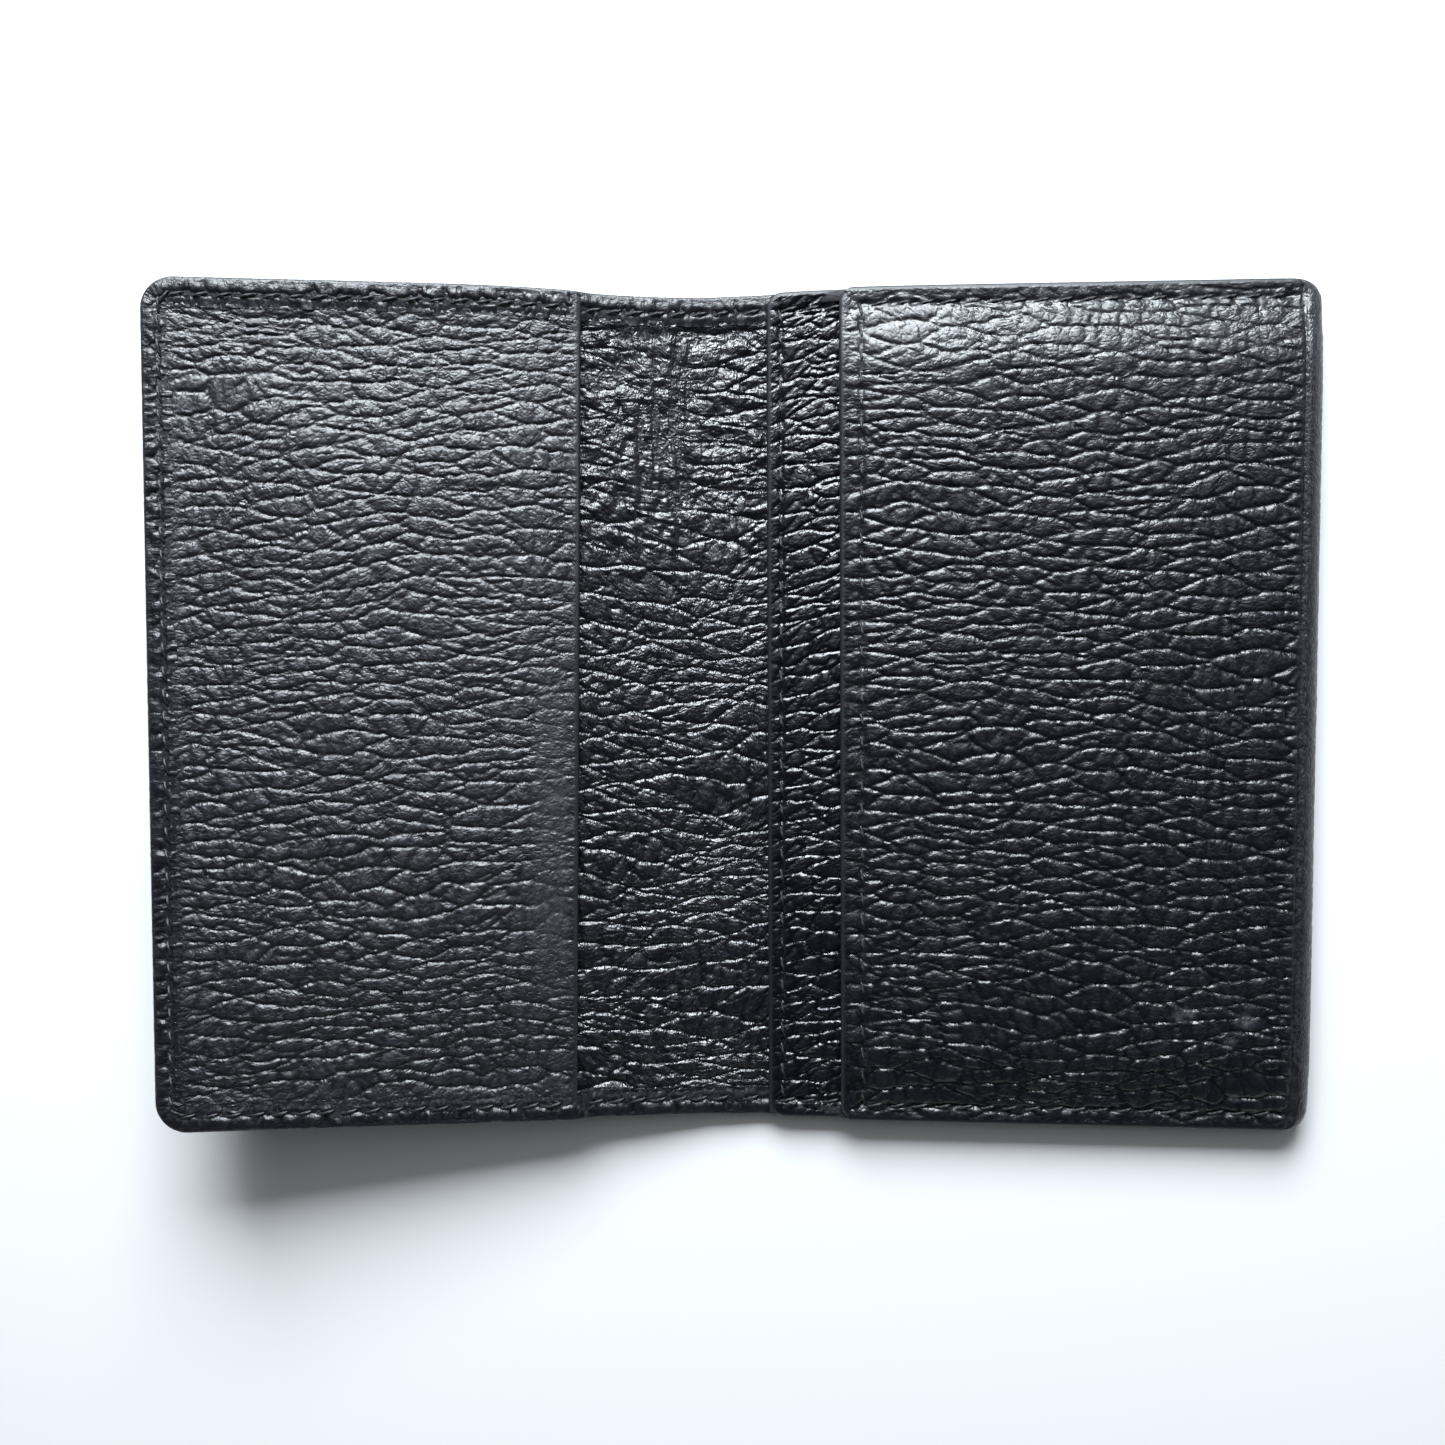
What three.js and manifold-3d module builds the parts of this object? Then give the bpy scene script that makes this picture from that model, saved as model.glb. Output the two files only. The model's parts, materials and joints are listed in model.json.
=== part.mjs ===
// A bifold card holder in grained leather, lying open on its right cover with the left cover
// a little raised. Millimetres, +Z up, +Y along the fold. The origin is on the surface that it
// lies on, at the middle of its footprint.
//
// Every piece is drawn as in the flat, fully opened holder: x is measured from the middle of
// the spine and z from the outer face of the covers. The spine and the left cover are then
// turned up at their two fold lines into the resting pose.
import * as THREE from "three";
import { mergeVertices } from "three/addons/utils/BufferGeometryUtils.js";
import Module from "manifold-3d";

const wasm = await Module();
wasm.setup();

// Overall size
const HEIGHT = 110; // along the fold
const HALF_WIDTH = 75.5; // from the middle of the spine to a cover's outer edge
const CORNER_LEFT = 4.2;
const CORNER_RIGHT = 2.8;

// The two fold lines, one each side of the spine
const FOLD_X = 3.5;
const FOLD_Z = 1.75;
const REST_FOLD = THREE.MathUtils.degToRad(5); // each fold line, at rest
const FOLD_GAP = 0.3; // from a fold line to the end of a piece beside it
const HEM_GAP = 1.1; // the same for a piece that stands higher than the fold line

// Pocket mouths, measured from the middle of the spine
const LEFT_MOUTH = -20.5;
const SLOT_MOUTH = 4.6;
const FRONT_MOUTH = 14.2;
const STRIP_END = 25; // where the slot's leather strip ends and its backing goes on alone

// Layer thicknesses
const OUTER_LEATHER = 0.9;
const BOARD = 0.4;
const LINING = 0.5;
const CARD_SPACE = 0.8; // room for a card inside a pocket
const TEXTILE = 0.15;
const STRIP_LEATHER = 0.7;
const POCKET_LEATHER = 0.8;
const FRONT_LEATHER = 0.9;
const HEM_LEATHER = 0.4;
const GLUE = 0.05; // between two layers that are stuck together

// Seams
const HEM_WIDTH = 4;
const SEAM_WIDTH = 4; // the lining's folded edge, which closes a pocket's three sides
const SEAM_INSET = 2.2; // from the outer edge to the stitch row
const SLOT_ROW = 1.9; // from a mouth to its own stitch row
const FRONT_ROW = 2.9;
const THREAD = 0.4;
const BOARD_INSET = 3;
const LINING_INSET = 0.5;

// Heights, from the outer face inwards
const BOARD_Z = OUTER_LEATHER + GLUE;
const LINING_Z = BOARD_Z + BOARD + GLUE;
const POCKET_Z = LINING_Z + LINING; // the floor of a pocket
const POCKET_TOP = POCKET_Z + CARD_SPACE;
const STRIP_Z = POCKET_TOP + TEXTILE + GLUE;
const SLOT_Z = STRIP_Z + STRIP_LEATHER;
const FRONT_LINING_Z = SLOT_Z + CARD_SPACE;
const FRONT_Z = FRONT_LINING_Z + TEXTILE + GLUE;
const FRONT_TOP = FRONT_Z + FRONT_LEATHER;
const PANEL_TOP = STRIP_Z + POCKET_LEATHER; // of the left pocket
const HEM_Z = PANEL_TOP + GLUE;
const HEM_TOP = HEM_Z + HEM_LEATHER;

// Where layers end
const FOLD_INSET = FRONT_TOP / 2 + GLUE; // the right cover's inner layers, at its edge fold
const RIGHT_IN = HALF_WIDTH - FOLD_INSET;
const WRAP_INSET = OUTER_LEATHER + GLUE; // the left cover's inner layers, at its turned edge
const LEFT_IN = -HALF_WIDTH + WRAP_INSET;
const LEFT_CORNERS = [CORNER_LEFT - OUTER_LEATHER, 0]; // of those inner layers
const SPINE_IN = FOLD_X - FOLD_GAP;
const COVER_IN = FOLD_X + FOLD_GAP;
const LINING_EDGE = 0.5; // from a pocket's mouth back to its thin lining

const ARC_STEPS = 8;
const TOP = HEIGHT / 2;

const leather = (color, roughness) =>
  new THREE.MeshStandardMaterial({ color, roughness, metalness: 0 });
const MATERIALS = {
  outer: leather(0x15161b, 0.5),
  inner: leather(0x191a1f, 0.55),
  textile: leather(0x101014, 0.9),
  board: leather(0x6b5a48, 0.95),
  thread: leather(0x0c0c0f, 0.6),
};

// A rectangle with round corners, as a counter-clockwise outline. radii are those of the
// corners at low x and at high x.
function roundRect(x0, x1, y0, y1, [rLow, rHigh]) {
  const outline = new THREE.Shape();
  outline.moveTo(x0 + rLow, y0);
  outline.lineTo(x1 - rHigh, y0);
  if (rHigh) outline.absarc(x1 - rHigh, y0 + rHigh, rHigh, -Math.PI / 2, 0);
  outline.lineTo(x1, y1 - rHigh);
  if (rHigh) outline.absarc(x1 - rHigh, y1 - rHigh, rHigh, 0, Math.PI / 2);
  outline.lineTo(x0 + rLow, y1);
  if (rLow) outline.absarc(x0 + rLow, y1 - rLow, rLow, Math.PI / 2, Math.PI);
  outline.lineTo(x0, y0 + rLow);
  if (rLow) outline.absarc(x0 + rLow, y0 + rLow, rLow, Math.PI, 1.5 * Math.PI);
  return outline;
}

function slab(shape, z0, z1) {
  const options = { depth: z1 - z0, bevelEnabled: false, curveSegments: ARC_STEPS };
  return new THREE.ExtrudeGeometry(shape, options).translate(0, 0, z0);
}

// A flat layer from x0 to x1, set in from the top and bottom edges.
function layer(x0, x1, z0, z1, { inset = 0, radii = [0, 0] } = {}) {
  return slab(roundRect(x0, x1, -TOP + inset, TOP - inset, radii), z0, z1);
}

// A flat bar along x near the top edge (side = 1) or the bottom edge (side = -1).
function edgeBar(x0, x1, side, from, width, z0, z1) {
  const low = Math.min(side * (TOP - from), side * (TOP - from - width));
  return slab(roundRect(x0, x1, low, low + width, [0, 0]), z0, z1);
}

function solidOf(geometry) {
  const bare = geometry.clone();
  bare.deleteAttribute("normal");
  bare.deleteAttribute("uv");
  const merged = mergeVertices(bare, 1e-4);
  return new wasm.Manifold(
    new wasm.Mesh({
      numProp: 3,
      vertProperties: merged.attributes.position.array,
      triVerts: new Uint32Array(merged.index.array),
    }),
  );
}

function geometryOf(solid) {
  const mesh = solid.getMesh();
  return new THREE.BufferGeometry()
    .setAttribute("position", new THREE.BufferAttribute(mesh.vertProperties, 3))
    .setIndex(new THREE.BufferAttribute(mesh.triVerts, 1));
}

const cut = (body, tool) => geometryOf(solidOf(body).subtract(solidOf(tool)));
const common = (body, tool) => geometryOf(solidOf(body).intersect(solidOf(tool)));

// A band that follows a cover's outer edge on three sides and is open at the mouth. outer is
// the distance from the cover's edge to the band's outer side. At the right (side = 1) the
// cover's corners are those of CORNER_RIGHT.
function edgeBand(side, mouth, outer, width, z0, z1) {
  const corner = side > 0 ? CORNER_RIGHT : CORNER_LEFT;
  const far = side * HALF_WIDTH;
  const rect = (inset, open) => {
    const r = Math.max(corner - inset, 0);
    const xs = [open, far - side * inset];
    const radii = side > 0 ? [0, r] : [r, 0];
    return roundRect(Math.min(...xs), Math.max(...xs), -TOP + inset, TOP - inset, radii);
  };
  const past = mouth - side; // the tool runs past the mouth
  return cut(
    slab(rect(outer, mouth), z0, z1),
    slab(rect(outer + width, past), z0 - 1, z1 + 1),
  );
}

// The right cover's leather goes round its outer edge and comes back as the front pocket.
function edgeFold() {
  const r = FRONT_TOP / 2;
  const inner = r - OUTER_LEATHER;
  const section = new THREE.Shape();
  section.absarc(0, 0, r, -Math.PI / 2, Math.PI / 2);
  section.lineTo(0, inner);
  section.absarc(0, 0, inner, Math.PI / 2, -Math.PI / 2, true);
  const options = { depth: HEIGHT, bevelEnabled: false, curveSegments: 2 * ARC_STEPS };
  const tube = new THREE.ExtrudeGeometry(section, options)
    .rotateX(Math.PI / 2)
    .translate(HALF_WIDTH - r, TOP, r);
  const outline = layer(0, HALF_WIDTH + 1e-3, -1, FRONT_TOP + 1, { radii: [0, CORNER_RIGHT] });
  return common(tube, outline);
}

// The left cover's leather comes up round the other layers and lies down on them as a hem.
function turnedEdge() {
  const mouth = LEFT_MOUTH;
  const wall = edgeBand(-1, mouth, 0, HEM_WIDTH, BOARD_Z, HEM_TOP);
  const under = layer(-HALF_WIDTH + OUTER_LEATHER, mouth + 1, BOARD_Z - 1, HEM_Z, {
    inset: OUTER_LEATHER,
    radii: LEFT_CORNERS,
  });
  return cut(wall, under);
}

// The textile pocket edges between the slot's backing and the front pocket's lining. They
// step up where the leather strip lies under them.
function slotSeam() {
  const top = FRONT_LINING_Z - GLUE;
  const band = edgeBand(1, FRONT_MOUTH + GLUE, FOLD_INSET, SEAM_WIDTH, STRIP_Z, top);
  const strip = layer(0, STRIP_END + GLUE, STRIP_Z - 1, SLOT_Z + GLUE);
  return cut(band, strip);
}

// Meshes are drawn in the flat holder's frame, so each body shifts them back to its own pivot.
function body(name, pivot, pieces) {
  const group = new THREE.Group();
  group.name = name;
  for (const [node, material, geometry] of pieces) {
    const mesh = new THREE.Mesh(geometry, MATERIALS[material]);
    mesh.name = node;
    mesh.position.set(-pivot.x, 0, -pivot.z);
    group.add(mesh);
  }
  return group;
}

const rightPieces = [
  ["outer_cover_right", "outer", layer(COVER_IN, RIGHT_IN, 0, OUTER_LEATHER)],
  ["edge_fold_right", "outer", edgeFold()],
  [
    "cover_board_right",
    "board",
    layer(SLOT_MOUTH, RIGHT_IN - 1, BOARD_Z, BOARD_Z + BOARD, { inset: BOARD_INSET }),
  ],
  [
    "lining_right",
    "inner",
    layer(COVER_IN, RIGHT_IN, LINING_Z, POCKET_Z, { inset: LINING_INSET }),
  ],
  [
    "rear_pocket_seam",
    "textile",
    edgeBand(1, SLOT_MOUTH + LINING_EDGE, FOLD_INSET, SEAM_WIDTH, POCKET_Z + GLUE, POCKET_TOP - GLUE),
  ],
  [
    "slot_backing",
    "textile",
    layer(SLOT_MOUTH + LINING_EDGE, RIGHT_IN, POCKET_TOP, POCKET_TOP + TEXTILE, {
      inset: LINING_INSET,
    }),
  ],
  ["slot_strip", "inner", layer(SLOT_MOUTH, STRIP_END, STRIP_Z, SLOT_Z)],
  ["front_slot_seam", "textile", slotSeam()],
  [
    "front_pocket_lining",
    "textile",
    layer(FRONT_MOUTH + LINING_EDGE, RIGHT_IN, FRONT_LINING_Z, FRONT_LINING_Z + TEXTILE, {
      inset: LINING_INSET,
    }),
  ],
  ["front_pocket_panel", "outer", layer(FRONT_MOUTH, RIGHT_IN, FRONT_Z, FRONT_TOP)],
  [
    "slot_mouth_thread",
    "thread",
    layer(SLOT_MOUTH + SLOT_ROW, SLOT_MOUTH + SLOT_ROW + THREAD, SLOT_Z, SLOT_Z + THREAD / 2, {
      inset: SEAM_INSET,
    }),
  ],
  [
    "front_mouth_thread",
    "thread",
    layer(
      FRONT_MOUTH + FRONT_ROW,
      FRONT_MOUTH + FRONT_ROW + THREAD,
      FRONT_TOP,
      FRONT_TOP + THREAD / 2,
      { inset: SEAM_INSET + 2 * THREAD },
    ),
  ],
];

const spinePieces = [
  ["outer_cover_spine", "outer", layer(-SPINE_IN, SPINE_IN, 0, OUTER_LEATHER)],
  [
    "spine_tape",
    "textile",
    layer(-SPINE_IN, SPINE_IN, BOARD_Z, BOARD_Z + BOARD, { inset: BOARD_INSET }),
  ],
  [
    "lining_spine",
    "inner",
    layer(-SPINE_IN, SPINE_IN, LINING_Z, POCKET_Z, { inset: LINING_INSET }),
  ],
];

const leftPieces = [
  [
    "outer_cover_left",
    "outer",
    layer(-HALF_WIDTH, -COVER_IN, 0, OUTER_LEATHER, { radii: [CORNER_LEFT, 0] }),
  ],
  [
    "cover_board_left",
    "board",
    layer(LEFT_IN + BOARD_INSET, -2 * FOLD_X, BOARD_Z, BOARD_Z + BOARD, {
      inset: BOARD_INSET + HEM_WIDTH / 2,
    }),
  ],
  [
    "lining_left",
    "inner",
    layer(LEFT_IN, -COVER_IN, LINING_Z, POCKET_Z, {
      inset: WRAP_INSET,
      radii: LEFT_CORNERS,
    }),
  ],
  [
    "left_pocket_seam",
    "textile",
    edgeBand(
      -1,
      LEFT_MOUTH - LINING_EDGE,
      WRAP_INSET,
      SEAM_WIDTH,
      POCKET_Z + GLUE,
      POCKET_TOP - GLUE,
    ),
  ],
  [
    "left_pocket_lining",
    "textile",
    layer(LEFT_IN, LEFT_MOUTH - LINING_EDGE, POCKET_TOP, POCKET_TOP + TEXTILE, {
      inset: WRAP_INSET,
      radii: LEFT_CORNERS,
    }),
  ],
  [
    "left_pocket_panel",
    "inner",
    layer(LEFT_IN, LEFT_MOUTH, STRIP_Z, PANEL_TOP, {
      inset: WRAP_INSET,
      radii: LEFT_CORNERS,
    }),
  ],
  ["turned_edge_left", "outer", turnedEdge()],
  [
    "seam_thread_left",
    "thread",
    edgeBand(-1, LEFT_MOUTH, SEAM_INSET, THREAD, HEM_TOP + GLUE, HEM_TOP + GLUE + THREAD / 2),
  ],
];

for (const [word, side] of [
  ["top", 1],
  ["bottom", -1],
]) {
  const row = (x0, x1, z) => edgeBar(x0, x1, side, SEAM_INSET, THREAD, z, z + THREAD / 2);
  const hem = (x0, x1) =>
    edgeBar(x0, x1, side, 0, HEM_WIDTH, POCKET_Z + GLUE, POCKET_Z + GLUE + HEM_LEATHER);
  const bridge = POCKET_Z + 2 * GLUE + HEM_LEATHER; // on a hem that lies on the lining
  rightPieces.push([
    `seam_thread_right_${word}`,
    "thread",
    row(FRONT_MOUTH + GLUE, RIGHT_IN, FRONT_TOP),
  ]);
  spinePieces.push(
    [`hem_spine_${word}`, "outer", hem(-FOLD_X + HEM_GAP, FOLD_X - HEM_GAP)],
    [
      `seam_thread_spine_${word}`,
      "thread",
      row(-FOLD_X + HEM_GAP, FOLD_X - HEM_GAP, bridge),
    ],
  );
  leftPieces.push(
    [`hem_bridge_${word}`, "outer", hem(LEFT_MOUTH + FOLD_GAP, -FOLD_X - HEM_GAP)],
    [
      `seam_thread_bridge_${word}`,
      "thread",
      row(LEFT_MOUTH + FOLD_GAP, -FOLD_X - HEM_GAP, bridge),
    ],
  );
}

const firstFold = new THREE.Vector3(FOLD_X, 0, FOLD_Z);
const secondFold = new THREE.Vector3(-FOLD_X, 0, FOLD_Z);

const leftCover = body("left_cover", secondFold, leftPieces);
leftCover.position.copy(secondFold).sub(firstFold);
leftCover.rotation.y = REST_FOLD;

const spine = body("spine", firstFold, spinePieces);
spine.position.copy(firstFold);
spine.rotation.y = REST_FOLD;
spine.add(leftCover);

const holder = new THREE.Group();
holder.name = "card_holder";
holder.add(body("right_cover", new THREE.Vector3(), rightPieces), spine);

// The origin goes under the middle of the holder as it lies.
const box = new THREE.Box3().setFromObject(holder, true);
holder.position.x = -(box.min.x + box.max.x) / 2;

export default holder;
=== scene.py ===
"""Looks for the bifold card holder: grained leather, sewn seams, textile pockets and edge paint.

Each leather piece is drawn flat, in millimetres: x from the middle of the spine, y along the
spine and z up from the covers' outer face. lie() then lays it as the frame lies.
"""
import json
import math

import bpy
import numpy as np
from mathutils import Matrix, Vector


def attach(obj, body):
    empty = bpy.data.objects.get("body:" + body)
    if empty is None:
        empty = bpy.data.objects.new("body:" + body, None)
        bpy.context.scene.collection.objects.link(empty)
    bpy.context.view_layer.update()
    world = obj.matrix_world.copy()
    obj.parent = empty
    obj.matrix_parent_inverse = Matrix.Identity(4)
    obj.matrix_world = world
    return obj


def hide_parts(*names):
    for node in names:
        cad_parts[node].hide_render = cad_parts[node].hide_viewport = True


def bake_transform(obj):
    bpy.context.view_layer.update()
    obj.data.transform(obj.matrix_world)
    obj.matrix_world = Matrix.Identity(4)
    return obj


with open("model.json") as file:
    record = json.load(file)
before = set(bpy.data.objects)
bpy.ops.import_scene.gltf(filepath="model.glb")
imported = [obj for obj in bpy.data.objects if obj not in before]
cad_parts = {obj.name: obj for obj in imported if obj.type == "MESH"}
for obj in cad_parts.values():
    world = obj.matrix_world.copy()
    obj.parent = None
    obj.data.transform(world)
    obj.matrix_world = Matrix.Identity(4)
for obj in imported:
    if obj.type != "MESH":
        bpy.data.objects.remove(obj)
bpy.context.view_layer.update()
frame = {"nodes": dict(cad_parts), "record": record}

MM = 0.001

# ---- camera

CAMERA_AT = Vector((12.5, 7.5, 194.5)) * MM
CAMERA_AIM = Vector((-2.0, -2.0, 0.0)) * MM
CAMERA_LENS = 36.0  # on a 36 mm sensor


def make_camera():
    data = bpy.data.cameras.new("camera")
    data.lens = CAMERA_LENS
    data.sensor_width = 36.0
    data.clip_start = 0.01
    camera = bpy.data.objects.new("camera", data)
    bpy.context.scene.collection.objects.link(camera)
    forward = (CAMERA_AIM - CAMERA_AT).normalized()
    right = forward.cross(Vector((0, 1, 0))).normalized()
    up = right.cross(forward)
    turn_to = Matrix((right, up, -forward)).transposed().to_4x4()
    camera.matrix_world = Matrix.Translation(CAMERA_AT) @ turn_to
    bpy.context.scene.camera = camera


make_camera()

# ---- the flat holder

JOINTS = {joint["name"]: joint for joint in frame["record"]["behaviour"]["joints"]}
RIGHT_FOLD = np.array(JOINTS["fold_right"]["pos_m"]) / MM
LEFT_FOLD = np.array(JOINTS["fold_left"]["pos_m"]) / MM
FOLD = np.hypot(*(RIGHT_FOLD - LEFT_FOLD)[[0, 2]]) / 2  # from the spine's middle to a fold
FOLD_Z = RIGHT_FOLD[2]
REST = math.atan2(LEFT_FOLD[2] - RIGHT_FOLD[2], RIGHT_FOLD[0] - LEFT_FOLD[0])
MIDDLE_X = RIGHT_FOLD[0] - FOLD  # the spine's middle in the row frame, were it flat
REACH = 2.1  # each bend runs this far to either side of its fold line


def smooth(t):
    t = np.clip(t, 0.0, 1.0)
    return t * t * (3 - 2 * t)


def ramp(value, start, width):
    """0 up to start, and from there smoothly up to 1 over the width."""
    return smooth((value - start) / width)


def hump(distance, reach):
    """1 at no distance, falling off to either side."""
    return np.exp(-((distance / reach) ** 2))


def xyz(x, y, z):
    return np.stack([x, y, z], axis=-1)


def turned(x, z, pivot_x, angle):
    """Points turned about a fold line, with the left side going up."""
    dx, dz = x - pivot_x, z - FOLD_Z
    c, s = np.cos(angle), np.sin(angle)
    return pivot_x + dx * c + dz * s, FOLD_Z - dx * s + dz * c


def flat_box(node):
    """A CAD node's lowest and highest corners in the flat holder, in millimetres, as rows."""
    mesh = frame["nodes"][node].data
    points = np.array([vertex.co for vertex in mesh.vertices]) / MM
    x, y, z = points.T
    x = x - MIDDLE_X
    bodies = frame["record"]["behaviour"]["bodies"]
    if node not in bodies["right_cover"]:
        x, z = turned(x, z, FOLD, -REST)
    if node in bodies["left_cover"]:
        x, z = turned(x, z, -FOLD, -REST)
    flat = np.column_stack([x, y, z])
    return np.array([flat.min(axis=0), flat.max(axis=0)])


TOP = flat_box("outer_cover_right")[1][1]  # half the height
WIDTH = flat_box("edge_fold_right")[1][0]  # from the spine's middle to the outer edges
OUTER = flat_box("outer_cover_right")[1][2]
LINING_LOW, LINING = flat_box("lining_right")[:, 2]
STRIP_LOW, STRIP = flat_box("slot_strip")[:, 2]
FRONT_LOW, FRONT = flat_box("front_pocket_panel")[:, 2]
PANEL_LOW, PANEL = flat_box("left_pocket_panel")[:, 2]
HEM_LOW, HEM = flat_box("hem_bridge_top")[:, 2]
TEXTILE_LOW, TEXTILE = flat_box("slot_backing")[:, 2]
CARD = TEXTILE_LOW - LINING  # room for a card in a pocket
CLOTH = TEXTILE - TEXTILE_LOW
GLUE = STRIP_LOW - TEXTILE
HEM_LEATHER = HEM - HEM_LOW
HEM_WIDTH = 4.0
INSIDE = TOP - OUTER - GLUE  # half the height between the hems' turned edges
LEFT_MOUTH = flat_box("left_pocket_panel")[1][0]
SLOT_MOUTH, STRIP_END = flat_box("slot_strip")[:, 0]
FRONT_MOUTH = flat_box("front_pocket_panel")[0][0]
SLOT_ROW = 1.9  # from a mouth to its stitches
FRONT_ROW = 2.9
SEAM_INSET = 2.3  # from the outer edges to the seam's stitches
CORNER_LEFT = 4.2
CORNER_RIGHT = 2.8
CORNER_MOUTH = 2.2
SIDES = (("top", 1), ("bottom", -1))

# The worn leather isn't square: the mouths lean, and the spine has drawn towards the bottom.
LEAN = {"left": 0.5, "slot": -0.28, "front": -0.36}  # at the top edge
MOUTHS = {"left": LEFT_MOUTH, "slot": SLOT_MOUTH, "front": FRONT_MOUTH}
SPINE_DRAW = 0.9
DRAW_MIDDLE, DRAW_REACH = -9.0, 16.0
DRAW_FADE = 10.0  # over this much above the bottom hem, which stays where it is


def mouth_at(pocket, y):
    return MOUTHS[pocket] + LEAN[pocket] * y / TOP


def from_end(y):
    """How far a point is from the top or bottom edge."""
    return TOP - np.abs(y)


def bend_share(x, fold):
    return smooth((fold + REACH - x) / (2 * REACH))


def lie(flat):
    """Points of the flat holder, in millimetres, as they lie in the row frame, in metres."""
    flat = np.asarray(flat, float)
    x, y, z = flat[..., 0], flat[..., 1], flat[..., 2]
    drawn = SPINE_DRAW * hump(x - DRAW_MIDDLE, DRAW_REACH)
    y = y - drawn * ramp(y + TOP, HEM_WIDTH, DRAW_FADE)
    left, right = bend_share(x, -FOLD), bend_share(x, FOLD)
    x, z = turned(x, z, -FOLD, left * REST)
    x, z = turned(x, z, FOLD, right * REST)
    return xyz(x + MIDDLE_X, y, z) * MM


# ---- patterns

TABLE = 64  # patterns repeat after this many cells


def table(seed):
    return np.random.default_rng(seed).random((TABLE, TABLE, 2))


def noise(x, y, size, seed):
    """Smooth noise from -1 to 1 with features of about size (width, height)."""
    values = table(seed)[..., 0] * 2 - 1
    x, y = x / size[0], y / size[1]
    i, j = np.floor(x).astype(int), np.floor(y).astype(int)
    u, v = smooth(x - i), smooth(y - j)

    def at(di, dj):
        return values[(i + di) % TABLE, (j + dj) % TABLE]

    low = at(0, 0) * (1 - u) + at(1, 0) * u
    high = at(0, 1) * (1 - u) + at(1, 1) * u
    return low * (1 - v) + high * v


def fractal(x, y, size, seed, octaves=3):
    total = sum(
        noise(x, y, (size[0] / 2**k, size[1] / 2**k), seed + k) / 2**k for k in range(octaves)
    )
    return total / 1.5


def cells(x, y, size, seed, jitter, squash=1.5):
    """Lens-shaped cells, point to point in staggered columns. Returns how far each point is
    from its cell's border and above its cell's seed, in millimetres, and a random value for
    each cell."""
    random = table(seed)
    X, Y = x / size[0], y / size[1]
    first = np.full(X.shape, 1e9)
    second = np.full(X.shape, 1e9)
    near = np.zeros(X.shape + (3,))
    next_near = np.zeros(X.shape + (2,))
    column_0 = np.floor(X).astype(int)
    for di in range(-2, 3):
        i = column_0 + di
        stagger = 0.5 * (i % 2)
        row_0 = np.floor(Y - stagger).astype(int)
        for dj in range(-1, 2):
            j = row_0 + dj
            shift = random[i % TABLE, j % TABLE]
            px = i + 0.5 + jitter[0] * (shift[..., 0] - 0.5)
            py = (j + stagger + 0.5 + jitter[1] * (shift[..., 1] - 0.5)) * squash
            d = (px - X) ** 2 + (py - Y * squash) ** 2
            closest = d < first
            closer = (d < second) & ~closest
            second = np.where(closest, first, np.where(closer, d, second))
            here = np.stack([px, py], axis=-1)
            next_near = np.where(closest[..., None], near[..., :2], next_near)
            next_near = np.where(closer[..., None], here, next_near)
            kept = np.concatenate([here, shift[..., :1]], axis=-1)
            near = np.where(closest[..., None], kept, near)
            first = np.where(closest, d, first)
    across = next_near - near[..., :2]
    length = np.linalg.norm(across, axis=-1) + 1e-9
    border = (second - first) / (2 * length)
    slope_x = across[..., 0] / length / size[0]
    slope_y = across[..., 1] / length * squash / size[1]
    above = (Y - near[..., 1] / squash) * size[1]
    return border / np.hypot(slope_x, slope_y), above, near[..., 2]


def rounded(distance, radius):
    """0 at a border, rising in a quarter circle to 1 at radius."""
    t = 1 - np.clip(distance / radius, 0.0, 1.0)
    return np.sqrt(1 - t * t)


def swollen(distance, radius):
    """0 at a border, rising like a cushion to 1 at radius."""
    return 1 - (1 - np.clip(distance / radius, 0.0, 1.0)) ** 2


def pebbles(x, y, seed, size=(6.2, 2.5), wander=1.0, fine=1.0, dome=0.0):
    """The hide's grain: long lens-shaped pebbles, each broken into lumps. Returns the height
    from 0 in a crease to 1, how much of a crease each point is, which the leather's shader
    darkens as painted shade, and places along the grain."""
    bend_x = 2.0 * wander * fractal(x, y, (14.0, 11.0), seed, 2)
    bend_y = 2.4 * wander * fractal(x, y, (22.0, 15.0), seed + 10, 2)
    ripple = 0.4 * fractal(x, y, (2.4, 1.9), seed + 20, 3)
    px, py = x + bend_x, y + bend_y
    border, above, level = cells(px, py + ripple, size, seed + 30, (0.85, 0.65))
    lumps, _, lump_level = cells(
        px + 5.3 * level + 0.3 * noise(x, y, (1.5, 1.5), seed + 60),
        above + 2.1 * level,
        (2.1, 4.2),
        seed + 40,
        (0.9, 0.9),
        1.2,
    )
    small = cells(px, py, (1.1, 0.9), seed + 50, (0.9, 0.9), 1.0)[0]
    near, off = border + 0.02, 0.7 * lumps + 0.03
    either = near * off / np.cbrt(near**3 + off**3)
    body = rounded(border, 0.42)
    lump = rounded(either, 0.62)
    height = (0.3 - 0.06 * dome) * body + (0.56 - 0.18 * dome) * lump
    height = height + (0.04 + 0.26 * dome) * swollen(either, 1.1)
    height = height + 0.06 * fine * (rounded(small, 0.4) - 0.5) * body
    height = height + 0.05 * above / size[1] * body  # higher towards the upper rim
    height = height + 0.08 * (level - 0.5) * body + 0.14 * (lump_level - 0.5) * lump
    # where the painted shade goes: in the creases and between the lumps
    crease = hump(border, 0.24) + 0.9 * hump(lumps, 0.26)
    place = xyz(px, py, 0 * px)
    return np.clip(height + 0.06, 0.0, 1.1), np.clip(crease, 0.0, 1.0), place


def ridges(x, y, size, seed):
    """Fine crumpled ridges, from 0 to 1."""
    return 1 - np.abs(fractal(x, y, size, seed))


# ---- meshes

COARSE = 12  # hidden sides have one line for this many of the visible side's
BENDING = 2  # and across a fold, for this many


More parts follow.
